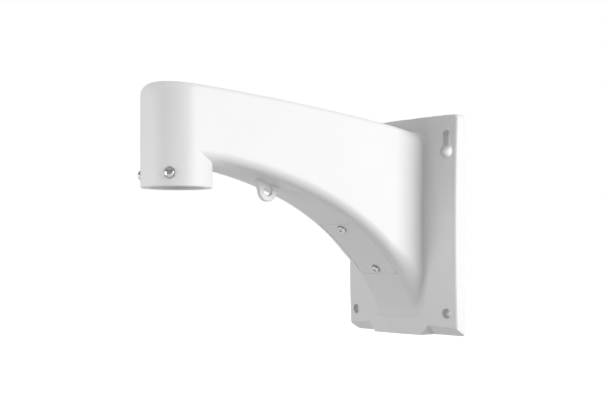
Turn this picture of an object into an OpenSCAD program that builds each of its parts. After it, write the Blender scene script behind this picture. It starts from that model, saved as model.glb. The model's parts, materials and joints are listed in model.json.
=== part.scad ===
// Wall-mount arm for a ceiling-style dome camera.
// The wall is the plane y = 0, the arm reaches towards -Y and +Z is up.
// The origin is the centre of the wall plate's back face.
// Stations along the arm are given as s, the distance from the wall, so y = -s.

/* [Wall plate] */
// Width of the wall plate
plate_w = 153; // [140:1:170]
// Height of the wall plate
plate_h = 212; // [190:1:230]
// Thickness of the plate at its centre
plate_t = 19.4; // [18:0.1:22]
// Fall of the front face from the centre to the side edges
plate_fall_x = 5.2; // [2:0.1:6]
// Fall of the front face from the centre to the top and bottom edges
plate_fall_z = 2.4; // [1:0.1:4]
// Radius of the plate's corners
plate_corner_r = 4; // [3:0.5:8]
// Height of the chamfers along the bottom edge
chamfer_h = 7.5; // [4:0.5:9]
// Depth of the hollow in the plate's back
recess_depth = 10.5; // [8:0.5:11]

/* [Arm] */
// Distance from the wall to the neck's axis
neck_s = 275; // [240:1:300]
// Radius of the arm's plan outline where it widens towards the wall
flare_r = 3200; // [2400:50:5000]
// Radius of the concave foot between the arm's sides and the plate
foot_r = 3; // [2:0.5:5]
// Height of the arm's top at its highest point, beside the crown
arm_top = 117; // [115:0.1:120]
// Height of the crown along the middle of the arm's top
crown_h = 2; // [0:0.1:3]
// Radius of the long arc along the arm's top
top_arc_r = 2400; // [2000:50:3000]
// Height of the underside arch at the neck
arch_top = 48.8; // [46:0.1:54]
// Length of the underside arch's half ellipse
arch_len = 266; // [262:1:270]
// Height of the underside arch's half ellipse
arch_h = 181; // [170:1:184]
// Radius of the arm's top edges
top_edge_r = 3.5; // [2:0.5:5]
// Radius of the arm's lower edges
low_edge_r = 9; // [6:0.5:10]
// Thickness of the arm's walls
wall = 4.5; // [4:0.1:5]

/* [Neck] */
// Outer radius of the neck
neck_r = 30.5; // [29.5:0.5:32]
// Height of the neck's lower rim
neck_low = 29.1; // [25:0.1:35]
// Radius of the rounding over the front of the neck
nose_r = 11; // [8:1:14]
// Radius of the socket that takes the camera's spigot
socket_r = 24.2; // [23:0.1:25]
// Depth of the socket
socket_depth = 37.4; // [30:0.1:38]

/* [Fasteners] */
// Radius of the screws' shanks
screw_r = 2; // [1.5:0.1:2.5]
// Radius of the screws' heads
head_r = 4.2; // [3.5:0.1:4.5]
// Height of the screws' heads
head_h = 3; // [2:0.1:3.5]
// Height of the neck screws' axes
neck_screw_z = 40.2; // [38:0.1:46]
// Angle of the two front neck screws from the arm's axis
neck_screw_angle = 47; // [35:1:60]

/* [Access cover] */
// Distance of the cover's centre from the wall
cover_s = 66; // [64:1:70]
// Slope of the cover's screws from the vertical
cover_tilt = 41; // [39:1:43]
// Half of the cover's length along the arch
cover_half_l = 36; // [34:1:38]
// Half of the cover's width
cover_half_w = 26; // [22:1:27]
// Thickness of the cover
cover_t = 3; // [2.5:0.1:3.5]
// Distance from the cover's centre to each cover screw
cover_screw_u = 29; // [27:0.5:30]

/* [Hidden] */

skin_white = [0.93, 0.93, 0.93];
steel = [0.72, 0.73, 0.75];
rubber = [0.09, 0.09, 0.10];
eps = 0.01;
$fn = 64;

// Derived places and sizes of the plate
half_w = plate_w / 2;
half_h = plate_h / 2;
barrel_r = pow(half_w, 2) / (2 * plate_fall_x);
barrel_steps = 12;
barrel_over = 2;
chamfer_depth = 12;
tab_top = 40.5;
tab_low = 34;
hole_x = 65;
low_hole_z = -84;
low_hole_r = 4.75;
key_z = 71.5;
key_r = 7;
key_slot_r = 3.9;
key_seat_z = 87.9;
recess_half_w = 50;
recess_half_h = 92;
recess_r = 6;
groove_w = 3;
groove_gap = 2;
groove_depth = 2;
pocket_x = 65;
pocket_half_w = 6.5;
pocket_z0 = -68;
pocket_z1 = 54;
pocket_depth = 7;
pocket_r = 4;

// Derived places of the arm
top_apex_s = neck_s + 102;
arch_z0 = arch_top - arch_h;
foot_bite = 0.4;
foot_s = plate_t - foot_bite + foot_r;
root_s = 9;
arch_stop_s = 17.5;
arch_lift_h = 2.6;
arch_lift_s = 160;
arch_lift_run = 85;
arch_lift_bend = 1.5;
core_r = neck_r - 0.1;
base_reach_s = 60;
base_run = 40;
base_edge_r = 18;
base_top_edge_r = 12;
side_steps = 17;
side_crowding = 1.9;
front_steps = 16;
edge_steps = 4;
crown_rows = [0.15, 0.5];

// Derived places of the neck
neck_h = 70;
socket_top = neck_low + socket_depth;
seal_r = 23;
seal_h = 3;
chamber_r = 21;
chamber_top = 108;
socket_over = 3;

// Derived places of the cable duct inside the arm, from the plate's recess to the neck's chamber
duct_s0 = recess_depth - 1;
duct_s1 = neck_s - 13;
duct_steps = 14;
duct_side = wall + 1.5;
duct_floor_t = 5.5;
duct_cover_t = 7.5;
duct_cover_s = 128;
duct_cover_run = 24;
duct_rise_s = neck_s - 62;
duct_rise_run = 25;
duct_neck_z = socket_top + seal_h + 4;
duct_foot_z = -72;
duct_bevel = 3;

// Derived places of the fasteners
washer_t = 0.8;
washer_r = 4.5;
washer_hole_r = 2.2;
thread_gap = 0.05;
seat_r = 4.8;
seat_cut = 0.4;
neck_seat = neck_r - seat_cut;
neck_screw_gap = 0.15;
neck_screw_l = neck_seat + washer_t - socket_r - neck_screw_gap;
cover_screw_l = 12;
dome_r = 6;
cross_l = 4.4;
cross_w = 0.8;
cross_depth = 1.5;
lock_angles = [neck_screw_angle, -neck_screw_angle, 180];

// Derived places of the cover
gasket_t = 1.2;
gasket_gap = 0.02;
gasket_inset = 0.5;
cover_gap = 0.3;
cover_r = 4;
prism_in = 16;
prism_out = 10;
hatch_in = 22;
hatch_out = 4;
cover_hole_l = cover_screw_l + 1.5;
cover_seat_drop = 0.2;
hatch_half_l = 21;
hatch_half_w = 21;
hatch_r = 3;

// Derived places of the safety lug
lug_s = 179;
lug_z = 30.6;
lug_r = 9.9;
lug_t = 4.5;
lug_hole_r = 4.7;
lug_root_s0 = 164;
lug_root_s1 = 191;

// Derived places of the earth point
earth_x = 0;
earth_z = -83;
earth_l = 3.5;

function limit(v) = max(0, min(1, v));
function crown(x) = crown_h * (1 - pow(x / core_r, 2));
function top_z(s) = arm_top - pow(top_apex_s - s, 2) / (2 * top_arc_r);
function arch_s(s) = max(min(s, neck_s), arch_stop_s);
function arch_lift(s) = arch_lift_h * pow(limit((s - arch_lift_s) / arch_lift_run), arch_lift_bend);
function arch_z(s) = arch_z0 + arch_h * sqrt(1 - pow((neck_s - arch_s(s)) / arch_len, 2)) + arch_lift(s);
function foot(s) = s >= foot_s ? 0 : foot_r - sqrt(max(0, pow(foot_r, 2) - pow(min(foot_s - s, foot_r), 2)));
function side_x(s) = core_r + pow(neck_s - min(s, neck_s), 2) / (2 * flare_r) + foot(s);
function near_wall(s) = limit((base_reach_s - s) / base_run);
function low_edge(s) = low_edge_r + (base_edge_r - low_edge_r) * near_wall(s);
function top_edge(s) = top_edge_r + (base_top_edge_r - top_edge_r) * near_wall(s);

// Stations crowd towards the wall, where the outline bends most
function station(i, steps, first, last) = first + (last - first) * pow(i / steps, side_crowding);

// One column of the skin: [x, s, normal x, normal s, top edge radius, lower edge radius]
function side_column(s, sign) = [sign * side_x(s), s, sign, 0, top_edge(s), low_edge(s)];
function front_column(a) = [core_r * sin(a), neck_s + core_r * cos(a), sin(a), cos(a),
                            top_edge_r + (nose_r - top_edge_r) * cos(a), low_edge_r];
function arm_columns() = concat(
    [for (i = [0 : side_steps]) side_column(station(i, side_steps, root_s, neck_s - 4), 1)],
    [for (i = [0 : front_steps - 1]) front_column(90 - 180 * i / (front_steps - 1))],
    [for (i = [side_steps : -1 : 0]) side_column(station(i, side_steps, root_s, neck_s - 4), -1)]);

// A point of a column on its top or lower edge, where turn goes from 0 at the wall to 90 on the face
function top_point(c, turn) = let (in = c[4] * (1 - cos(turn)), x = c[0] - c[2] * in, s = c[1] - c[3] * in)
    [x, -s, top_z(s) + crown(x) - c[4] * (1 - sin(turn))];
function crown_point(c, share) = let (s = c[1] - c[3] * c[4], x = share * (c[0] - c[2] * c[4]))
    [x, -s, top_z(s) + crown(x)];
function low_point(c, turn) = let (s = c[1] - c[3] * c[5] * (1 - cos(turn)))
    [c[0] - c[2] * c[5] * (1 - cos(turn)), -s, arch_z(s) + c[5] * (1 - sin(turn))];
function edge_rows(columns) = concat(
    [for (share = crown_rows) [for (c = columns) crown_point(c, share)]],
    [for (k = [edge_steps : -1 : 0]) [for (c = columns) top_point(c, 90 * k / edge_steps)]],
    [for (k = [0 : edge_steps]) [for (c = columns) low_point(c, 90 * k / edge_steps)]]);

// A closed solid through rows of points: its columns run out along one side and back along the other
module skin(rows) {
    m = len(rows[0]);
    n = len(rows);
    points = [for (row = rows) for (p = row) p];
    walls = [for (j = [0 : n - 2]) for (i = [0 : m - 2])
        [j * m + i, (j + 1) * m + i, (j + 1) * m + i + 1, j * m + i + 1]];
    lid = [for (i = [0 : m / 2 - 2]) [i, i + 1, m - 2 - i, m - 1 - i]];
    floor = [for (i = [0 : m / 2 - 2]) [for (k = [m - 1 - i, m - 2 - i, i + 1, i]) (n - 1) * m + k]];
    end = concat([for (j = [n - 1 : -1 : 0]) j * m], [for (j = [0 : n - 1]) j * m + m - 1]);
    polyhedron(points, concat(walls, lid, floor, [end]), convexity = 6);
}

module arm_skin() {
    skin(edge_rows(arm_columns()));
}

// The duct's section: its floor is thicker over the access cover and rises to the neck's chamber
function duct_s(i) = duct_s0 + (duct_s1 - duct_s0) * i / duct_steps;
function duct_x(s) = core_r + pow(neck_s - s, 2) / (2 * flare_r) - duct_side;
function duct_top(s) = top_z(s) - wall;
function duct_lift(s) = duct_floor_t + duct_cover_t * limit((duct_cover_s - s) / duct_cover_run);
function duct_floor(s) = max(arch_z(s) + duct_lift(s), duct_foot_z);
function duct_rise(s) = limit((s - duct_rise_s) / duct_rise_run);
function duct_low(s) = duct_floor(s) + (duct_neck_z - duct_floor(s)) * duct_rise(s);
function duct_half(s, sign) = let (x = sign * duct_x(s), b = sign * duct_bevel)
    [[x - b, -s, duct_top(s)], [x, -s, duct_top(s) - duct_bevel],
     [x, -s, duct_low(s) + duct_bevel], [x - b, -s, duct_low(s)]];
module duct() {
    columns = concat([for (i = [0 : duct_steps]) duct_half(duct_s(i), 1)],
                     [for (i = [duct_steps : -1 : 0]) duct_half(duct_s(i), -1)]);
    skin([for (j = [0 : 3]) [for (c = columns) c[j]]]);
}

module rounded(hx, hy, r) {
    square([2 * hx - 2 * r, 2 * hy], center = true);
    square([2 * hx, 2 * hy - 2 * r], center = true);
    for (x = [-1, 1], y = [-1, 1])
        translate([x * (hx - r), y * (hy - r)]) circle(r);
}

// Stands a drawing up so that it faces the room and grows from the wall
module from_wall(s0, s1) {
    translate([0, -s0, 0]) rotate([90, 0, 0]) linear_extrude(s1 - s0) children();
}

module y_hole(x, z, r, s0, s1) {
    translate([x, -s0, z]) rotate([90, 0, 0]) cylinder(r = r, h = s1 - s0);
}

// Round barrel whose front is the plate's doubly curved face
module barrel() {
    profile = [for (i = [-barrel_steps : barrel_steps]) let (z = (half_h + barrel_over) * i / barrel_steps)
        [barrel_r - plate_fall_z * pow(z / half_h, 2), z]];
    translate([0, barrel_r - plate_t, 0]) rotate_extrude($fn = 360)
        polygon(concat([[0, -half_h - barrel_over]], profile, [[0, half_h + barrel_over]]));
}

// Material taken off below the front edge on each side of the central tab
module bottom_chamfer(sign) {
    intersection() {
        from_wall(-1, plate_t + 1)
            polygon([for (p = [[tab_low, -half_h], [tab_top, chamfer_h - half_h],
                               [half_w + 1, chamfer_h - half_h], [half_w + 1, -half_h - 1],
                               [tab_low, -half_h - 1]]) [sign * p[0], p[1]]]);
        rotate([90, 0, 90]) linear_extrude(2 * plate_w, center = true)
            polygon([[0, -half_h], [-plate_t, chamfer_h * plate_t / chamfer_depth - half_h],
                     [-plate_t, -half_h - 1], [0, -half_h - 1]]);
    }
}

module keyhole(x) {
    y_hole(x, key_z, key_r, -1, plate_t);
    y_hole(x, key_seat_z, key_slot_r, -1, plate_t);
    translate([x - key_slot_r, -plate_t, key_z]) cube([2 * key_slot_r, plate_t + 1, key_seat_z - key_z]);
}

module plate() {
    intersection() {
        from_wall(0, plate_t) rounded(half_w, half_h, plate_corner_r);
        barrel();
    }
}

module lug() {
    translate([-lug_t / 2, 0, 0]) rotate([90, 0, 90]) linear_extrude(lug_t) {
        translate([-lug_s, lug_z]) circle(lug_r);
        polygon([[-lug_s - lug_r, lug_z], [-lug_root_s1 - 1, arch_z(lug_root_s1) + 3],
                 [-lug_root_s0 + 1, arch_z(lug_root_s0) + 3], [-lug_s + lug_r, lug_z]]);
    }
}

// Place on the cover: +Z points out of the arch along the cover screws, +Y up the arch
module at_cover() {
    translate([0, -cover_s, arch_z(cover_s)]) rotate([180 - cover_tilt, 0, 0]) children();
}

// Moves children into the arm along the cover screws
module inwards(d) {
    translate([0, sin(cover_tilt) * d, cos(cover_tilt) * d]) children();
}

// Distance along the arch from the cover's centre, and height over its tangent plane
function cover_u(s) = (s - cover_s) * cos(cover_tilt) + (arch_z(s) - arch_z(cover_s)) * sin(cover_tilt);
function cover_w(s) = (s - cover_s) * sin(cover_tilt) - (arch_z(s) - arch_z(cover_s)) * cos(cover_tilt);
function station_at(u, lo, hi, n) = let (mid = (lo + hi) / 2)
    n == 0 ? mid : cover_u(mid) < u ? station_at(u, mid, hi, n - 1) : station_at(u, lo, mid, n - 1);
function seat_w(u) = cover_w(station_at(u, arch_stop_s, neck_s / 2, 20)) - seat_cut - cover_seat_drop;

module cover_prism(grow) {
    at_cover() translate([0, 0, -prism_in]) linear_extrude(prism_in + prism_out)
        rounded(cover_half_w + grow, cover_half_l + grow, cover_r + grow);
}

// The opening behind the cover, through the arm's wall into the duct
module hatch(grow) {
    at_cover() translate([0, 0, -hatch_in]) linear_extrude(hatch_in + hatch_out)
        rounded(hatch_half_w + grow, hatch_half_l + grow, hatch_r);
}

module at_cover_screw(u) {
    at_cover() translate([0, u, seat_w(u)]) children();
}

module at_neck_screw(a) {
    translate([0, -neck_s, neck_screw_z]) rotate([90, 0, a]) children();
}

// A pan-head screw whose head rests on z = 0 and points up
module screw(length) {
    color(steel) {
        difference() {
            intersection() {
                translate([0, 0, head_h - dome_r]) sphere(dome_r);
                cylinder(r = head_r, h = head_h);
            }
            for (a = [0, 90])
                rotate([0, 0, a]) translate([-cross_l / 2, -cross_w / 2, head_h - cross_depth])
                    cube([cross_l, cross_w, 2 * cross_depth]);
        }
        translate([0, 0, -length]) cylinder(r = screw_r, h = length + eps);
    }
}

module washer() {
    color(steel) difference() {
        cylinder(r = washer_r, h = washer_t);
        translate([0, 0, -1]) cylinder(r = washer_hole_r, h = washer_t + 2);
    }
}

// Every hollow of the casting's neck: socket, seal seat, chamber and the lock screws' holes
module neck_hollows() {
    translate([0, -neck_s, neck_low - 1]) cylinder(r = socket_r, h = socket_depth + 1);
    translate([0, -neck_s, socket_top - eps]) cylinder(r = seal_r, h = seal_h + eps);
    translate([0, -neck_s, socket_top]) cylinder(r = chamber_r, h = chamber_top - socket_top);
    for (a = lock_angles)
        at_neck_screw(a) {
            translate([0, 0, socket_r - socket_over]) cylinder(r = screw_r + thread_gap, h = neck_r);
            translate([0, 0, neck_seat]) cylinder(r = seat_r, h = head_h);
        }
}

// Hollows around the access cover: its pocket, the hatch into the duct and the screws' holes
module cover_hollows() {
    difference() {
        cover_prism(cover_gap);
        inwards(cover_t + gasket_t) arm_skin();
    }
    hatch(0);
    for (u = [-cover_screw_u, cover_screw_u])
        at_cover_screw(u) translate([0, 0, -cover_hole_l])
            cylinder(r = screw_r + thread_gap, h = 2 * cover_hole_l);
}

// Outline of the groove around the plate's recess, which the wall gasket fills
module groove_outline() {
    difference() {
        recess_outline(groove_gap + groove_w);
        recess_outline(groove_gap);
    }
}

module recess_outline(grow) {
    rounded(recess_half_w + grow, recess_half_h + grow, recess_r + grow / 2);
}

module plate_hollows() {
    from_wall(-1, recess_depth) recess_outline(0);
    for (x = [-hole_x, hole_x]) {
        y_hole(x, low_hole_z, low_hole_r, -1, plate_t);
        keyhole(x);
    }
    from_wall(-1, groove_depth) groove_outline();
    for (x = [-pocket_x, pocket_x])
        from_wall(-1, pocket_depth) translate([x, (pocket_z0 + pocket_z1) / 2])
            rounded(pocket_half_w, (pocket_z1 - pocket_z0) / 2, pocket_r);
    y_hole(earth_x, earth_z, screw_r + thread_gap, recess_depth - 1, recess_depth + earth_l + 0.5);
}

module arm_casting() {
    color(skin_white) difference() {
        union() {
            difference() {
                union() {
                    arm_skin();
                    translate([0, -neck_s, neck_low]) cylinder(r = neck_r, h = neck_h, $fn = 120);
                    lug();
                }
                duct();
            }
            plate_with_mouth();
        }
        translate([-lug_t, -lug_s, lug_z]) rotate([0, 90, 0]) cylinder(r = lug_hole_r, h = 2 * lug_t);
        bottom_chamfer(1);
        bottom_chamfer(-1);
        neck_hollows();
        cover_hollows();
        plate_hollows();
    }
}

// The plate, opened where the duct comes through
module plate_with_mouth() {
    difference() {
        plate();
        duct();
    }
}

module access_cover() {
    color(skin_white) difference() {
        intersection() {
            cover_prism(0);
            difference() {
                arm_skin();
                inwards(cover_t) arm_skin();
            }
        }
        for (u = [-cover_screw_u, cover_screw_u])
            at_cover_screw(u) {
                cylinder(r = washer_hole_r, h = 4 * cover_t, center = true);
                cylinder(r = seat_r, h = 2 * cover_t);
            }
    }
}

module cover_gasket() {
    color(rubber) difference() {
        intersection() {
            cover_prism(-gasket_inset);
            difference() {
                inwards(cover_t + gasket_gap) arm_skin();
                inwards(cover_t + gasket_t - gasket_gap) arm_skin();
            }
        }
        hatch(1);
        for (u = [-cover_screw_u, cover_screw_u])
            at_cover_screw(u) cylinder(r = washer_hole_r, h = 4 * cover_t, center = true);
    }
}

module cover_fastener(u, piece) {
    at_cover_screw(u) {
        if (piece == "screw") translate([0, 0, washer_t]) screw(cover_screw_l);
        if (piece == "washer") washer();
    }
}

module neck_fastener(a, piece) {
    at_neck_screw(a) translate([0, 0, neck_seat]) {
        if (piece == "screw") translate([0, 0, washer_t]) screw(neck_screw_l);
        if (piece == "washer") washer();
    }
}

module cover_screw_upper() { cover_fastener(cover_screw_u, "screw"); }
module cover_screw_lower() { cover_fastener(-cover_screw_u, "screw"); }
module cover_washer_upper() { cover_fastener(cover_screw_u, "washer"); }
module cover_washer_lower() { cover_fastener(-cover_screw_u, "washer"); }
module neck_screw_right() { neck_fastener(lock_angles[0], "screw"); }
module neck_screw_left() { neck_fastener(lock_angles[1], "screw"); }
module neck_screw_rear() { neck_fastener(lock_angles[2], "screw"); }
module neck_washer_right() { neck_fastener(lock_angles[0], "washer"); }
module neck_washer_left() { neck_fastener(lock_angles[1], "washer"); }
module neck_washer_rear() { neck_fastener(lock_angles[2], "washer"); }

module neck_seal_ring() {
    color(rubber) translate([0, -neck_s, socket_top]) difference() {
        cylinder(r = seal_r - 0.05, h = seal_h - 0.05);
        translate([0, 0, -1]) cylinder(r = chamber_r, h = seal_h + 2);
    }
}

module wall_gasket() {
    color(rubber) from_wall(0, groove_depth) groove_outline();
}

module at_earth() {
    translate([earth_x, -recess_depth, earth_z]) rotate([-90, 0, 0]) children();
}

module earth_screw() { at_earth() translate([0, 0, washer_t]) screw(earth_l + washer_t); }
module earth_washer() { at_earth() washer(); }

arm_casting();
access_cover();
cover_gasket();
cover_screw_upper();
cover_screw_lower();
cover_washer_upper();
cover_washer_lower();
neck_screw_right();
neck_screw_left();
neck_screw_rear();
neck_washer_right();
neck_washer_left();
neck_washer_rear();
neck_seal_ring();
wall_gasket();
earth_screw();
earth_washer();
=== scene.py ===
import json
import math

import bpy
import numpy as np
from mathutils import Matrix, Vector


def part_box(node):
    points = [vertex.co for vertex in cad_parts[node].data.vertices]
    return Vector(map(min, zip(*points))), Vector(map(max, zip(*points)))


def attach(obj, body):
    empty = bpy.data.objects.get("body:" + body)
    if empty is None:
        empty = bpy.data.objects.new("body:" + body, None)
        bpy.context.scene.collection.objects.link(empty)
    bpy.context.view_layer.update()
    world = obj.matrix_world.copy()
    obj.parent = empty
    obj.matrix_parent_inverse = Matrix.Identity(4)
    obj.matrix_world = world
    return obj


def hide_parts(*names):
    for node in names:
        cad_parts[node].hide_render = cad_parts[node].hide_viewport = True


# Looks of a wall-mount arm for a dome camera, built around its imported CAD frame.
# The casting, the cover and the screws are solids given by distance fields: a field is a
# function of (x, s, z) in millimetres, where s = -y is the distance from the wall, and it is
# negative inside the solid. dual_contour() turns a field into a mesh.

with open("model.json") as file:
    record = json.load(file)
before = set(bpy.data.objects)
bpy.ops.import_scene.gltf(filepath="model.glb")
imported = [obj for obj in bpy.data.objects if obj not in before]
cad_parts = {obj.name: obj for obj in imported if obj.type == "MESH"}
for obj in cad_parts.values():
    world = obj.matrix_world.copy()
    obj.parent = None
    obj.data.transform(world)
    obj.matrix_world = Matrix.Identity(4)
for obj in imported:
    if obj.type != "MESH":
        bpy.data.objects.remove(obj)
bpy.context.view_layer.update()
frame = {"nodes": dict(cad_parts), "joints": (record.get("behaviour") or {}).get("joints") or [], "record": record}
RECORD = frame["record"]
MOUNTS = {m["name"]: m for m in RECORD["mounts"]}
JOINTS = {j["name"]: j for j in frame["joints"]}
TURNS = [j for name, j in JOINTS.items() if name.endswith("_turn")]
NECK_TURNS = [j for j in TURNS if j["name"].startswith("neck_")]
COVER_TURNS = [j for j in TURNS if j["name"].startswith("cover_")]
MM = 1000.0
SMOOTH_WITHIN = math.cos(math.radians(12))
SHARP_ANGLE = 46.0
SCREW_SHARP_ANGLE = 40.0
CASTING_TRIANGLES = 190_000
CASTING_CELLS = (3.0, 1.3)
COVER_CELLS = (1.2, 0.5)
SCREW_CELLS = (0.4, 0.2)

# ---------------------------------------------------------------- sizes, in millimetres
CASTING_LOW, CASTING_HIGH = (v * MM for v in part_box("arm_casting"))
PLATE_HALF_W = CASTING_HIGH.x
PLATE_HALF_H = -CASTING_LOW.z
PLATE_T = 19.4
PLATE_FALL_X = 5.2
PLATE_FALL_Z = 2.4
PLATE_CORNER = 4.0
PLATE_RIM = 2.6
PLATE_END_RIM = 0.7
CHAMFER_H = 7.5
CHAMFER_DEPTH = 12.0
CHAMFER_SLOPE = CHAMFER_H / CHAMFER_DEPTH
TAB_TOP = 40.5
TAB_LOW = 34.0
RECESS = (50.0, 92.0, 6.0, 10.5)
POCKET = (65.0, -68.0, 54.0, 6.5, 7.0)
GROOVE_IN = 2.0
GROOVE_W = 3.0
GROOVE_DEPTH = 2.0

SOCKET = MOUNTS["neck_socket"]
NECK_S = -SOCKET["pos_m"][1] * MM
NECK_R = -CASTING_LOW.y - NECK_S
SOCKET_R = SOCKET["dims"]["r_mm"]
NECK_LOW = 29.1
SOCKET_TOP = NECK_LOW + SOCKET["dims"]["length_mm"]
SEAL_R = 23.0
SEAL_TOP = SOCKET_TOP + 3.0
CHAMBER_R = 21.0
CHAMBER_TOP = 108.0

FLARE_R = 3200.0
ARM_TOP = 117.0
CROWN_H = 2.0
TOP_ARC_R = 2400.0
TOP_APEX = NECK_S + 102.0
ARCH_TOP = 48.8
ARCH_LEN = 266.0
ARCH_H = 181.0
ARCH_Z0 = ARCH_TOP - ARCH_H
ARCH_STOP = 17.5
ARCH_LIFT = (2.6, 160.0, 245.0, 1.5)
FOOT_R = 3.0
TOP_EDGE = 3.5
TOP_EDGE_BASE = 12.0
LOW_EDGE = 9.0
LOW_EDGE_BASE = 18.0
NOSE_R = 11.0
NECK_FILLET = 1.2

LUG = MOUNTS["lug_hole"]
LUG_S, LUG_Z = -LUG["pos_m"][1] * MM, LUG["pos_m"][2] * MM
LUG_HOLE_R = LUG["dims"]["r_mm"]
LUG_T = LUG["dims"]["length_mm"]
LUG_R = 9.9
LUG_ROOT = (164.0, 191.0)

LOWER = MOUNTS["lower_wall_holes"]
UPPER = MOUNTS["upper_keyholes"]
HOLE_X = LOWER["dims"]["spacing_x_mm"] / 2
LOW_HOLE_Z, LOW_HOLE_R = LOWER["pos_m"][2] * MM, LOWER["dims"]["hole_r_mm"]
KEY_Z, KEY_R = UPPER["pos_m"][2] * MM, UPPER["dims"]["hole_r_mm"]
KEY_SLOT_R = 3.9
KEY_SEAT_Z = 87.9

SCREW_R = 2.0
SCREW_HOLE_R = 2.05
HEAD_R = 4.2
HEAD_H = 3.0
PITCH = 0.7
THREAD_DEPTH = 0.36
SEAT_R = 4.8
SEAT_CUT = 0.4
WASHER_HOLE_R = 2.2
DOME_R = 6.0
CROSS_REACH = 2.1
CROSS_TAPER = 0.5
CROSS_HALF_W = 0.42
CROSS_DEPTH = 1.6
COVER_SEAT_DROP = 0.2

WALL = 4.5
DUCT_FLOOR = 5.5
DUCT_FLOOR_COVER = 7.5
COVER_END_S = (104.0, 128.0)
DUCT_RISE_RUN = 25.0
DUCT_SIDE = WALL + 1.6
DUCT_END = NECK_S - 13.0
DUCT_RISE = NECK_S - 62.0
DUCT_NECK_Z = SEAL_TOP + 4.0
DUCT_FOOT_Z = -72.0

COVER_AXIS = Vector(JOINTS["cover_lift"]["axis"])
TILT_SIN, TILT_COS = -COVER_AXIS.y, -COVER_AXIS.z
COVER_S = 66.0
COVER_HALF = (26.0, 36.0, 4.0)
COVER_T = 3.0
COVER_GAP = 0.3
GASKET_T = 1.2
HATCH_HALF = (21.0, 21.0, 3.0)


# ---------------------------------------------------------------- distance-field tools
def round_union(a, b, r):
    """Both solids, with a fillet of radius r where they meet."""
    return np.maximum(r, np.minimum(a, b)) - np.hypot(np.maximum(r - a, 0), np.maximum(r - b, 0))


def round_meet(a, b, r):
    """What both solids share, with its new edges rounded to radius r."""
    return np.minimum(-r, np.maximum(a, b)) + np.hypot(np.maximum(r + a, 0), np.maximum(r + b, 0))


def cut(a, b, r=0.4):
    """Solid a without solid b, with the rim of the cut rounded to radius r."""
    return round_meet(a, -b, r)


def box2(a, b, half_a, half_b, r):
    """Rectangle with round corners."""
    qa, qb = np.abs(a) - half_a + r, np.abs(b) - half_b + r
    return np.hypot(np.maximum(qa, 0), np.maximum(qb, 0)) + np.minimum(np.maximum(qa, qb), 0) - r


def ramp(v, low, high):
    return np.clip((v - low) / (high - low), 0, 1)


# ---------------------------------------------------------------- the arm's outer shape
def half_width(s):
    return NECK_R + (NECK_S - np.minimum(s, NECK_S)) ** 2 / (2 * FLARE_R)


def top_z(s):
    return ARM_TOP - (TOP_APEX - s) ** 2 / (2 * TOP_ARC_R)


def crown(x):
    return CROWN_H * (1 - (x / NECK_R) ** 2)


def arch_lift(s):
    height, start, end, bend = ARCH_LIFT
    return height * ramp(s, start, end) ** bend


def arch_z(s):
    u = (NECK_S - np.clip(s, ARCH_STOP, NECK_S)) / ARCH_LEN
    return ARCH_Z0 + ARCH_H * np.sqrt(1 - u * u) + arch_lift(s)


BASE_LOW = float(arch_z(ARCH_STOP))


def under_arch(s, z):
    """Signed distance to the arch along the underside: positive in the air below it."""
    u = (NECK_S - np.minimum(s, NECK_S)) / ARCH_LEN
    w = (z - arch_lift(s) - ARCH_Z0) / ARCH_H
    e = np.maximum(np.hypot(u, w), 1e-6)
    slope = np.hypot(u / ARCH_LEN, w / ARCH_H) / e
    return np.maximum((1 - e) / np.maximum(slope, 1e-6), BASE_LOW - z)


def arm_outer(x, s, z):
    near = ramp(-s, -60.0, -20.0)
    radial = np.hypot(x, s - NECK_S)
    side = np.where(s < NECK_S, np.abs(x) - half_width(s), radial - NECK_R)
    ahead = np.clip((s - NECK_S) / np.maximum(radial, 1.0), 0, 1)
    top_edge = TOP_EDGE + (TOP_EDGE_BASE - TOP_EDGE) * near + (NOSE_R - TOP_EDGE) * ahead
    low_edge = LOW_EDGE + (LOW_EDGE_BASE - LOW_EDGE) * near
    d = round_meet(side, z - top_z(s) - crown(x), top_edge)
    return round_meet(d, under_arch(s, z), low_edge)


def neck_outer(x, s, z):
    tube = round_meet(np.hypot(x, s - NECK_S) - NECK_R, NECK_LOW - z, 0.9)
    return np.maximum(tube, z - ARCH_TOP - 20)


def neck_and_arm(x, s, z):
    behind = np.clip(1 - (x / 27.0) ** 4, 0, 1) * ramp(-s, -NECK_S + 8, -NECK_S + 16)
    return round_union(arm_outer(x, s, z), neck_outer(x, s, z), NECK_FILLET * behind + 0.02)


def lug_outer(x, s, z):
    rise = (z - LUG_Z) / (arch_z(LUG_S) - LUG_Z)
    left = LUG_S - LUG_R + (LUG_ROOT[0] - LUG_S + LUG_R) * rise
    right = LUG_S + LUG_R + (LUG_ROOT[1] - LUG_S - LUG_R) * rise
    stem = np.maximum(np.maximum(left - s, s - right), LUG_Z - z)
    flat = np.minimum(np.hypot(s - LUG_S, z - LUG_Z) - LUG_R, stem)
    flat = np.maximum(flat, z - arch_z(LUG_S) - 8)
    eye = cut(flat, np.hypot(s - LUG_S, z - LUG_Z) - LUG_HOLE_R, 0.01)
    return round_meet(eye, np.abs(x) - LUG_T / 2, 0.9)


def plate_outer(x, s, z):
    front = (PLATE_T - PLATE_FALL_X * (x / PLATE_HALF_W) ** 2
             - PLATE_FALL_Z * (z / PLATE_HALF_H) ** 2)
    beside = ramp(PLATE_HALF_W - np.abs(x), PLATE_CORNER + 6, PLATE_CORNER)
    rim = PLATE_END_RIM + (PLATE_RIM - PLATE_END_RIM) * beside
    d = round_meet(s - front, box2(x, z, PLATE_HALF_W, PLATE_HALF_H, PLATE_CORNER), rim)
    d = round_meet(d, -s, 0.4)
    height = z + PLATE_HALF_H
    below = (s * CHAMFER_SLOPE - height) / math.hypot(1, CHAMFER_SLOPE)
    beside = np.abs(x) - TAB_LOW - (TAB_TOP - TAB_LOW) * height / CHAMFER_H
    return round_meet(d, np.minimum(below, beside), 0.7)


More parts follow.
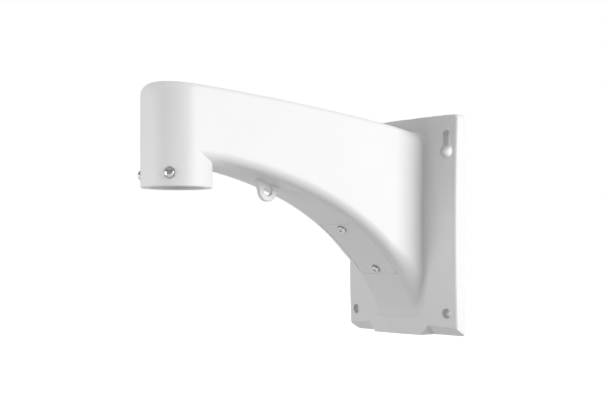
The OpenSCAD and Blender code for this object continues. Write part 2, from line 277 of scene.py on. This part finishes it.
# ---------------------------------------------------------------- the casting's hollows
def keyhole(x, z):
    slot = np.hypot(x, z - np.clip(z, KEY_Z, KEY_SEAT_Z)) - KEY_SLOT_R
    return np.minimum(np.hypot(x, z - KEY_Z) - KEY_R, slot)


def plate_hollows(x, s, z):
    ax = np.abs(x)
    recess = round_meet(box2(x, z, *RECESS[:3]), s - RECESS[3], 2.0)
    px, z0, z1, half, depth = POCKET
    pocket = round_meet(box2(ax - px, z - (z0 + z1) / 2, half, (z1 - z0) / 2, 4.0), s - depth, 1.5)
    ring = box2(x, z, RECESS[0] + GROOVE_IN, RECESS[1] + GROOVE_IN, RECESS[2] + 1) - GROOVE_W / 2
    groove = np.maximum(np.abs(ring) - GROOVE_W / 2, s - GROOVE_DEPTH)
    holes = np.minimum(np.hypot(ax - HOLE_X, z - LOW_HOLE_Z) - LOW_HOLE_R, keyhole(ax - HOLE_X, z))
    return np.minimum(np.minimum(recess, pocket), np.minimum(groove, holes))


def duct(x, s, z):
    over_cover = ramp(-s, -COVER_END_S[1], -COVER_END_S[0])
    floor = np.maximum(arch_z(s) + DUCT_FLOOR + DUCT_FLOOR_COVER * over_cover, DUCT_FOOT_Z)
    floor = floor + (DUCT_NECK_Z - floor) * ramp(s, DUCT_RISE, DUCT_RISE + DUCT_RISE_RUN)
    tall = np.maximum(floor - z, z - top_z(s) + WALL)
    d = round_meet(np.abs(x) - half_width(s) + DUCT_SIDE, tall, 4.0)
    return np.maximum(d, s - DUCT_END)


def neck_hollows(x, s, z):
    radial = np.hypot(x, s - NECK_S)
    socket = np.maximum(radial - SOCKET_R, z - SOCKET_TOP)
    seat = np.maximum(radial - SEAL_R, z - SEAL_TOP)
    chamber = round_meet(radial - CHAMBER_R, z - CHAMBER_TOP, 5.0)
    d = np.minimum(np.minimum(socket, seat), chamber)
    for joint in NECK_TURNS:
        axis = Vector(joint["axis"])
        out = x * axis.x - (s - NECK_S) * axis.y
        off = np.hypot(x * axis.y + (s - NECK_S) * axis.x, z - joint["pos_m"][2] * MM)
        hole = np.maximum(off - SCREW_HOLE_R, np.abs(out - SOCKET_R - 12) - 15)
        seat = np.maximum(off - SEAT_R, np.abs(out - NECK_R + SEAT_CUT - HEAD_H / 2) - HEAD_H / 2)
        d = np.minimum(d, np.minimum(hole, seat))
    return d


# ---------------------------------------------------------------- the access cover
def cover_uw(s, z):
    """Place along the arch and height above it, in the cover's own frame."""
    ds, dz = s - COVER_S, z - float(arch_z(COVER_S))
    return ds * TILT_COS + dz * TILT_SIN, ds * TILT_SIN - dz * TILT_COS


def under_arch_in(s, z, depth):
    """The arch moved into the arm by depth along the cover's screws."""
    return under_arch(s + TILT_SIN * depth, z - TILT_COS * depth)


def cover_seat(u0):
    """Height of a screw's seat on the cover, a little under the arch's surface."""
    s = np.linspace(ARCH_STOP, NECK_S / 2, 4000)
    u, w = cover_uw(s, arch_z(s))
    return float(np.interp(u0, u, w)) - SEAT_CUT - COVER_SEAT_DROP


def cover_screw_u(joint):
    return float(cover_uw(-joint["pos_m"][1] * MM, joint["pos_m"][2] * MM)[0])


def cover_holes(x, u, w, r, deep):
    d = np.full(np.shape(x), 1e3)
    for joint in COVER_TURNS:
        u0 = cover_screw_u(joint)
        off = np.hypot(x, u - u0)
        seat = cover_seat(u0)
        d = np.minimum(d, np.minimum(np.maximum(off - r, seat - deep - w),
                                     np.maximum(off - SEAT_R, seat - w)))
    return d


def cover_pocket(x, s, z):
    u, w = cover_uw(s, z)
    grown = [h + COVER_GAP for h in COVER_HALF]
    pocket = np.maximum(box2(x, u, *grown), -under_arch_in(s, z, COVER_T + GASKET_T))
    pocket = np.maximum(pocket, np.abs(w + 3) - 13)
    hatch = np.maximum(box2(x, u, *HATCH_HALF), np.abs(w + 9) - 13)
    return np.minimum(np.minimum(pocket, hatch), cover_holes(x, u, w, SCREW_HOLE_R, 13.5))


def cover_field(x, s, z):
    u, w = cover_uw(s, z)
    skin = np.maximum(arm_outer(x, s, z), -under_arch_in(s, z, COVER_T))
    skin = np.maximum(skin, np.abs(w + 3) - 13)
    d = round_meet(box2(x, u, *COVER_HALF), skin, 0.5)
    return cut(d, cover_holes(x, u, w, WASHER_HOLE_R, 20), 0.15)


# ---------------------------------------------------------------- whole solids
def casting_field(x, s, z):
    hollow = duct(x, s, z)
    body = round_union(neck_and_arm(x, s, z), lug_outer(x, s, z), 1.5)
    body = np.maximum(body, 6.0 - s)
    body = round_union(body, plate_outer(x, s, z), FOOT_R)
    body = cut(body, hollow, 0.6)
    body = cut(body, neck_hollows(x, s, z), 0.3)
    body = cut(body, cover_pocket(x, s, z), 0.25)
    return cut(body, plate_hollows(x, s, z), 0.4)


def screw_field(length):
    """A pan-head screw along +z (here s is a plain coordinate) whose head rests on z = 0."""
    def field(x, s, z):
        r = np.hypot(x, s)
        dome = np.sqrt(r * r + (z - HEAD_H + DOME_R) ** 2) - DOME_R
        head = round_meet(round_meet(r - HEAD_R, dome, 0.5), -z, 0.15)
        across, along = np.abs(x), np.abs(s)
        narrowing = CROSS_TAPER * (HEAD_H - z)
        cross = np.minimum(
            np.maximum(across - CROSS_REACH + narrowing, along - CROSS_HALF_W),
            np.maximum(along - CROSS_REACH + narrowing, across - CROSS_HALF_W))
        head = cut(head, np.maximum(cross, HEAD_H - CROSS_DEPTH - z), 0.12)
        turn = (z / PITCH - np.arctan2(s, x) / (2 * math.pi)) % 1.0
        thread = THREAD_DEPTH * np.abs(2 * turn - 1) * ramp(-z, 0.6, 1.2)
        shank = (r - SCREW_R + thread) * 0.75
        shank = round_meet(shank, -length - z, 0.35)
        return np.minimum(head, np.maximum(shank, z - 0.5))
    return field


# ---------------------------------------------------------------- from field to mesh
def gradient(field, p, h=0.02):
    """Unit normals of a field at points, from four samples around each."""
    total = np.zeros_like(p)
    for k in ((1, -1, -1), (-1, -1, 1), (-1, 1, -1), (1, 1, 1)):
        k = np.array(k, float)
        total += field(*(p + h * k).T)[:, None] * k
    return total / np.maximum(np.linalg.norm(total, axis=1, keepdims=True), 1e-12)


def sample(field, low, cell, counts):
    axes = [low[i] + cell * np.arange(counts[i]) for i in range(3)]
    volume = np.empty(counts, np.float32)
    for j, s in enumerate(axes[1]):
        volume[:, j, :] = field(axes[0][:, None], np.full((1, 1), s), axes[2][None, :])
    return volume


def dual_contour(field, low, high, cell):
    """Quads on the field's zero surface, one vertex in each cell that the surface crosses."""
    low, high = np.array(low) - 1.53 * cell, np.array(high) + 1.53 * cell
    counts = tuple(int(n) for n in np.ceil((high - low) / cell).astype(int) + 1)
    volume = sample(field, low, cell, counts)
    inside = volume < 0
    cells = tuple(n - 1 for n in counts)
    links, points, faces = [], [], []
    for axis in range(3):
        a = [slice(None)] * 3
        b = [slice(None)] * 3
        a[axis], b[axis] = slice(None, -1), slice(1, None)
        at = np.argwhere(inside[tuple(a)] != inside[tuple(b)])
        to = at.copy()
        to[:, axis] += 1
        va, vb = volume[tuple(at.T)], volume[tuple(to.T)]
        step = np.zeros((len(at), 3))
        step[:, axis] = va / (va - vb)
        points.append(low + cell * (at + step))
        o1, o2 = (axis + 1) % 3, (axis + 2) % 3
        ring = []
        for d1, d2 in ((1, 1), (0, 1), (0, 0), (1, 0)):
            c = at.copy()
            c[:, o1] -= d1
            c[:, o2] -= d2
            ring.append(np.ravel_multi_index(tuple(c.T), cells))
        ring = np.array(ring).T
        flip = vb < va
        ring[flip] = ring[flip][:, ::-1]
        links.append(ring)
        faces.append(ring)
    links, points = np.concatenate(links), np.concatenate(points)
    normals = gradient(field, points)
    ids, where = np.unique(links.ravel(), return_inverse=True)
    where = where.reshape(links.shape)
    n = len(ids)
    count = np.bincount(where.ravel(), minlength=n).astype(float)

    def gather(values):
        return np.bincount(where.ravel(), np.repeat(values, 4), n)

    centre = np.stack([gather(points[:, i]) for i in range(3)], 1) / count[:, None]
    pull = 0.02 * count
    ata = np.zeros((n, 3, 3))
    atb = np.zeros((n, 3))
    reach = (normals * points).sum(1)
    for i in range(3):
        for j in range(i, 3):
            ata[:, i, j] = ata[:, j, i] = gather(normals[:, i] * normals[:, j])
        ata[:, i, i] += pull
        atb[:, i] = gather(normals[:, i] * reach)
    atb += centre * pull[:, None]
    best = np.linalg.solve(ata, atb[:, :, None])[:, :, 0]
    corner = low + cell * np.stack(np.unravel_index(ids, cells), 1)
    verts = np.clip(best, corner, corner + cell)
    return verts, where


def to_metres(p):
    """From (x, s, z) in millimetres to the frame's metres."""
    return np.stack([p[:, 0], -p[:, 1], p[:, 2]], 1) / MM


def mesh_object(name, verts, quads, sharp=SHARP_ANGLE):
    mesh = bpy.data.meshes.new(name)
    mesh.vertices.add(len(verts))
    mesh.vertices.foreach_set("co", verts.astype(np.float32).ravel())
    mesh.loops.add(quads.size)
    mesh.loops.foreach_set("vertex_index", quads.astype(np.int32).ravel())
    mesh.polygons.add(len(quads))
    mesh.polygons.foreach_set("loop_start", np.arange(0, quads.size, 4, dtype=np.int32))
    mesh.update(calc_edges=True)
    mesh.validate()
    obj = bpy.data.objects.new(name, mesh)
    bpy.context.scene.collection.objects.link(obj)
    mesh.shade_smooth()
    mesh.set_sharp_from_angle(angle=math.radians(sharp))
    return obj


def thin_out(obj, triangles):
    """Fewer faces where the surface is flat or gently curved."""
    now = 2 * len(obj.data.polygons)
    if now <= triangles:
        return
    modifier = obj.modifiers.new("thin", "DECIMATE")
    modifier.ratio = triangles / now
    modifier.use_symmetry = False
    evaluated = obj.evaluated_get(bpy.context.evaluated_depsgraph_get())
    mesh = bpy.data.meshes.new_from_object(evaluated)
    obj.modifiers.clear()
    old, obj.data = obj.data, mesh
    bpy.data.meshes.remove(old)
    mesh.shade_smooth()
    mesh.set_sharp_from_angle(angle=math.radians(SHARP_ANGLE))


def loop_sums(corners, values, n):
    return np.stack([np.bincount(corners, values[:, i], n) for i in range(3)], 1)


def field_normals(obj, field):
    """Shading normals from the field: one per vertex, or one per corner at an edge."""
    mesh = obj.data
    n, loops = len(mesh.vertices), len(mesh.loops)
    at = np.empty(n * 3)
    mesh.vertices.foreach_get("co", at)
    at = at.reshape(-1, 3) * MM * (1, -1, 1)
    corners, totals = np.empty(loops, np.int32), np.empty(len(mesh.polygons), np.int32)
    mesh.loops.foreach_get("vertex_index", corners)
    mesh.polygons.foreach_get("loop_total", totals)
    owner = np.repeat(np.arange(len(totals)), totals)
    centres = loop_sums(owner, at[corners], len(totals)) / totals[:, None]
    near = at[corners] + 0.15 * (centres[owner] - at[corners])
    normals = gradient(field, near)
    mean = loop_sums(corners, normals, n)
    mean /= np.maximum(np.linalg.norm(mean, axis=1, keepdims=True), 1e-9)
    agree = (normals * mean[corners]).sum(1)
    worst = np.ones(n)
    np.minimum.at(worst, corners, agree)
    smooth = worst[corners] > SMOOTH_WITHIN
    normals[smooth] = mean[corners][smooth]
    mesh.normals_split_custom_set((normals * (1, -1, 1)).tolist())


def finish_piece(obj, body, slot, material, node):
    obj.data.materials.clear()
    obj.data.materials.append(material)
    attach(obj, body)
    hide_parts(node)


# ---------------------------------------------------------------- materials
# the darkest and the lightest tint of each material
COAT_COLOURS = (0.75, 0.75, 0.75), (0.77, 0.77, 0.768)
NICKEL_COLOURS = (0.30, 0.30, 0.32), (0.50, 0.50, 0.52)
BRASS_COLOURS = (0.60, 0.42, 0.16), (0.80, 0.60, 0.28)
RUBBER_COLOURS = (0.018, 0.018, 0.020), (0.045, 0.045, 0.048)
FLOOR_COLOURS = (0.90, 0.90, 0.90), (0.93, 0.93, 0.93)


def new_material(name):
    material = bpy.data.materials.new(name)
    material.use_nodes = True
    nodes, links = material.node_tree.nodes, material.node_tree.links
    return material, nodes, links, nodes["Principled BSDF"]


def noise(nodes, links, scale, detail=3.0, rough=0.55):
    place = nodes.new("ShaderNodeTexCoord")
    tex = nodes.new("ShaderNodeTexNoise")
    tex.inputs["Scale"].default_value = scale
    tex.inputs["Detail"].default_value = detail
    tex.inputs["Roughness"].default_value = rough
    links.new(place.outputs["Object"], tex.inputs["Vector"])
    return tex.outputs["Fac"]


def spread(nodes, links, value, low, high):
    """A 0 to 1 value spread over low to high."""
    node = nodes.new("ShaderNodeMapRange")
    node.inputs["From Min"].default_value = 0.3
    node.inputs["From Max"].default_value = 0.7
    node.inputs["To Min"].default_value = low
    node.inputs["To Max"].default_value = high
    links.new(value, node.inputs["Value"])
    return node.outputs["Result"]


def tint(nodes, links, value, dark, light):
    node = nodes.new("ShaderNodeMix")
    node.data_type = "RGBA"
    node.inputs[6].default_value = (*dark, 1)
    node.inputs[7].default_value = (*light, 1)
    links.new(value, node.inputs[0])
    return node.outputs[2]


def bump(nodes, links, shader, value, strength, distance, base=None):
    node = nodes.new("ShaderNodeBump")
    node.inputs["Strength"].default_value = strength
    node.inputs["Distance"].default_value = distance
    links.new(value, node.inputs["Height"])
    if base is not None:
        links.new(base, node.inputs["Normal"])
    links.new(node.outputs["Normal"], shader.inputs["Normal"])
    return node.outputs["Normal"]


def powder_coat():
    material, nodes, links, shader = new_material("powder_coat")
    broad = noise(nodes, links, 14, 2)
    peel = noise(nodes, links, 620, 2, 0.4)
    grain = noise(nodes, links, 2600, 1)
    colour = tint(nodes, links, spread(nodes, links, broad, 0, 1), *COAT_COLOURS)
    links.new(colour, shader.inputs["Base Color"])
    links.new(spread(nodes, links, peel, 0.42, 0.52), shader.inputs["Roughness"])
    shader.inputs["Specular IOR Level"].default_value = 0.4
    first = bump(nodes, links, shader, peel, 0.10, 0.0002)
    bump(nodes, links, shader, grain, 0.06, 0.0001, first)
    return material


def nickel():
    material, nodes, links, shader = new_material("nickel")
    cloud = noise(nodes, links, 900, 3)
    links.new(tint(nodes, links, cloud, *NICKEL_COLOURS), shader.inputs["Base Color"])
    links.new(spread(nodes, links, cloud, 0.10, 0.22), shader.inputs["Roughness"])
    shader.inputs["Metallic"].default_value = 1.0
    bump(nodes, links, shader, noise(nodes, links, 3000, 2), 0.05, 0.0001)
    return material


def brass():
    material, nodes, links, shader = new_material("brass")
    cloud = noise(nodes, links, 700, 3)
    links.new(tint(nodes, links, cloud, *BRASS_COLOURS), shader.inputs["Base Color"])
    links.new(spread(nodes, links, cloud, 0.22, 0.38), shader.inputs["Roughness"])
    shader.inputs["Metallic"].default_value = 1.0
    bump(nodes, links, shader, noise(nodes, links, 2500, 2), 0.06, 0.0001)
    return material


def rubber():
    material, nodes, links, shader = new_material("rubber")
    cloud = noise(nodes, links, 160, 4)
    links.new(tint(nodes, links, cloud, *RUBBER_COLOURS), shader.inputs["Base Color"])
    links.new(spread(nodes, links, cloud, 0.62, 0.82), shader.inputs["Roughness"])
    bump(nodes, links, shader, noise(nodes, links, 1800, 3), 0.25, 0.0002)
    return material


MATERIALS = {"powder_coat": powder_coat(), "nickel": nickel(), "brass": brass(), "rubber": rubber()}
SLOTS = {p["node"]: p["material_slot"] for p in RECORD["subparts"]}


# ---------------------------------------------------------------- pieces
def node_box_mm(node):
    low, high = (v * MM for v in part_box(node))
    return (low.x, -high.y, low.z), (high.x, -low.y, high.z)


def choose_cell(cells):
    quick, fine = cells
    return fine


def make_casting():
    cell = choose_cell(CASTING_CELLS)
    box = node_box_mm("arm_casting")
    verts, quads = dual_contour(casting_field, *box, cell)
    verts = np.clip(verts, *box)
    obj = mesh_object("casting_skin", to_metres(verts), quads[:, ::-1])
    thin_out(obj, CASTING_TRIANGLES)
    field_normals(obj, casting_field)
    finish_piece(obj, "arm", "powder_coat", MATERIALS["powder_coat"], "arm_casting")


def make_cover():
    cell = choose_cell(COVER_CELLS)
    box = node_box_mm("access_cover")
    verts, quads = dual_contour(cover_field, *box, cell)
    verts = np.clip(verts, *box)
    obj = mesh_object("cover_skin", to_metres(verts), quads[:, ::-1])
    field_normals(obj, cover_field)
    finish_piece(obj, "cover", "powder_coat", MATERIALS["powder_coat"], "access_cover")


def screw_template(length):
    cell = choose_cell(SCREW_CELLS)
    low, high = (-HEAD_R, -HEAD_R, -length), (HEAD_R, HEAD_R, HEAD_H)
    return dual_contour(screw_field(length), low, high, cell)


def make_screw(node, body, seat, axis, template, slot):
    """Sets a screw's template on its seat, with its head towards axis."""
    verts, quads = template
    turn = Vector((0, 0, 1)).rotation_difference(axis).to_matrix()
    placed = verts / MM @ np.array(turn.transposed()) + np.array(seat)
    obj = mesh_object(node + "_skin", placed, quads, SCREW_SHARP_ANGLE)
    finish_piece(obj, body, slot, MATERIALS[slot], node)


def make_fasteners():
    """Each screw's head stands on the outer face of its washer, on its joint's axis."""
    templates = {}
    for joint in TURNS:
        node = joint["child"]
        axis = Vector(joint["axis"])
        on_axis = Vector(joint["pos_m"])
        verts = [v.co.dot(axis) for v in frame["nodes"][node].data.vertices]
        head, tip = max(verts), min(verts)
        length = round((head - tip) * MM - HEAD_H, 2)
        if length not in templates:
            templates[length] = screw_template(length)
        seat = on_axis + axis * (head - HEAD_H / MM - on_axis.dot(axis))
        make_screw(node, joint["child"], seat, axis, templates[length], SLOTS[node])


def dress_cad_nodes():
    """The washers, seals, gaskets and earth point keep their CAD shape and take a material."""
    replaced = {"arm_casting", "access_cover"} | {joint["child"] for joint in TURNS}
    for name, obj in frame["nodes"].items():
        if name not in replaced:
            obj.data.materials.clear()
            obj.data.materials.append(MATERIALS[SLOTS[name]])


# ---------------------------------------------------------------- camera, light and floor
VIEW_AZIMUTH = math.radians(51.35)
VIEW_DISTANCE = 1.024
VIEW_DROP = -0.0273
AIM_REACH = 0.1359
LENS = 65.13
SHIFT_UP = 0.0772
SKY_BELOW = 0.41
SKY_LEVEL = 0.35
SKY_ABOVE = 0.92
# azimuth and elevation in degrees, distance and size in metres, power in watts
SIDE_PANEL = (121, 6, 3.2, 2.0, 92)
FRONT_PANEL = (-12, 0, 0.8, 0.4, 2.3)
FLOOR_GLOW = 0.55


def make_camera():
    data = bpy.data.cameras.new("camera")
    data.lens = LENS
    data.sensor_width = 36.0
    data.shift_y = SHIFT_UP
    camera = bpy.data.objects.new("camera", data)
    bpy.context.scene.collection.objects.link(camera)
    out = Vector((math.sin(VIEW_AZIMUTH), -math.cos(VIEW_AZIMUTH), 0))
    camera.location = Vector((0, -AIM_REACH, VIEW_DROP)) + out * VIEW_DISTANCE
    camera.rotation_euler = (math.pi / 2, 0, VIEW_AZIMUTH)
    bpy.context.scene.camera = camera


def area_light(name, azimuth, elevation, distance, size, power):
    data = bpy.data.lights.new(name, "AREA")
    data.shape = "SQUARE"
    data.size = size
    data.energy = power
    light = bpy.data.objects.new(name, data)
    bpy.context.scene.collection.objects.link(light)
    a, e = math.radians(azimuth), math.radians(elevation)
    out = Vector((math.sin(a) * math.cos(e), -math.cos(a) * math.cos(e), math.sin(e)))
    light.location = Vector((0, -AIM_REACH, 0)) + out * distance
    light.rotation_euler = out.to_track_quat("Z", "Y").to_euler()


def sky(nodes, links):
    """Soft light from all round: strongest from above and weakest at the horizon."""
    place = nodes.new("ShaderNodeTexCoord")
    parts = nodes.new("ShaderNodeSeparateXYZ")
    links.new(place.outputs["Generated"], parts.inputs["Vector"])
    up = nodes.new("ShaderNodeFloatCurve")
    curve = up.mapping.curves[0]
    curve.points[0].location = (0, SKY_BELOW)
    curve.points[1].location = (1, SKY_ABOVE)
    curve.points.new(0.5, SKY_LEVEL)
    up.mapping.update()
    height = nodes.new("ShaderNodeMapRange")
    height.inputs["From Min"].default_value = -1.0
    links.new(parts.outputs["Z"], height.inputs["Value"])
    links.new(height.outputs["Result"], up.inputs["Value"])
    return up.outputs["Value"]


def make_light():
    world = bpy.data.worlds.new("studio")
    bpy.context.scene.world = world
    world.use_nodes = True
    nodes, links = world.node_tree.nodes, world.node_tree.links
    back = nodes["Background"]
    back.inputs["Color"].default_value = (1, 1, 1, 1)
    path = nodes.new("ShaderNodeLightPath")
    level = nodes.new("ShaderNodeMix")
    level.inputs["B"].default_value = 1.0
    links.new(path.outputs["Is Camera Ray"], level.inputs["Factor"])
    links.new(sky(nodes, links), level.inputs["A"])
    links.new(level.outputs["Result"], back.inputs["Strength"])
    area_light("side_panel", *SIDE_PANEL)
    area_light("front_panel", *FRONT_PANEL)
    bpy.context.scene.view_settings.view_transform = "Standard"


def make_floor():
    size, depth = 400.0, 1.1
    mesh = bpy.data.meshes.new("floor")
    corners = [(-size, -size), (size, -size), (size, size), (-size, size)]
    mesh.from_pydata([(x, y, -depth) for x, y in corners], [], [(0, 1, 2, 3)])
    floor = bpy.data.objects.new("floor", mesh)
    bpy.context.scene.collection.objects.link(floor)
    material, nodes, links, shader = new_material("floor")
    cloud = noise(nodes, links, 3, 2)
    links.new(tint(nodes, links, cloud, *FLOOR_COLOURS), shader.inputs["Base Color"])
    shader.inputs["Roughness"].default_value = 0.9
    shader.inputs["Emission Color"].default_value = (1, 1, 1, 1)
    shader.inputs["Emission Strength"].default_value = FLOOR_GLOW
    mesh.materials.append(material)
    floor.visible_diffuse = False


make_camera()
make_light()
make_floor()
make_casting()
make_cover()
make_fasteners()
dress_cad_nodes()
